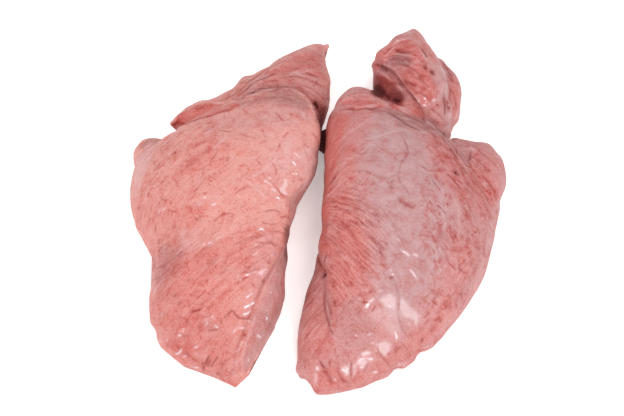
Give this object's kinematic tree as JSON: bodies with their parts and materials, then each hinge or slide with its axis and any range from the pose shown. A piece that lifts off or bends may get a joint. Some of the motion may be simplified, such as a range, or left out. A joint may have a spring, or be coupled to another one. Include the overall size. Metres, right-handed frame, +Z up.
{
  "type": "lung",
  "caption": "Pair of fresh lungs joined at the root, lying on the ventral side with the backs up; each lung is one soft body whose lobes, folded front lobes and creases are in its shape.",
  "frame": {"origin": "on the table plane, under the middle of the pair's bounding box", "axes": "+Y runs from the base of the lungs to their tips, +Z up, +X towards the right lung"},
  "size_m": [0.2738, 0.323, 0.0607],
  "materials": {
    "left_lung_tissue": "wet satin",
    "right_lung_tissue": "wet satin"
  },
  "bodies": {
    "root": {"left_lung": "left_lung_tissue", "right_lung": "right_lung_tissue"}
  },
  "joints": []
}
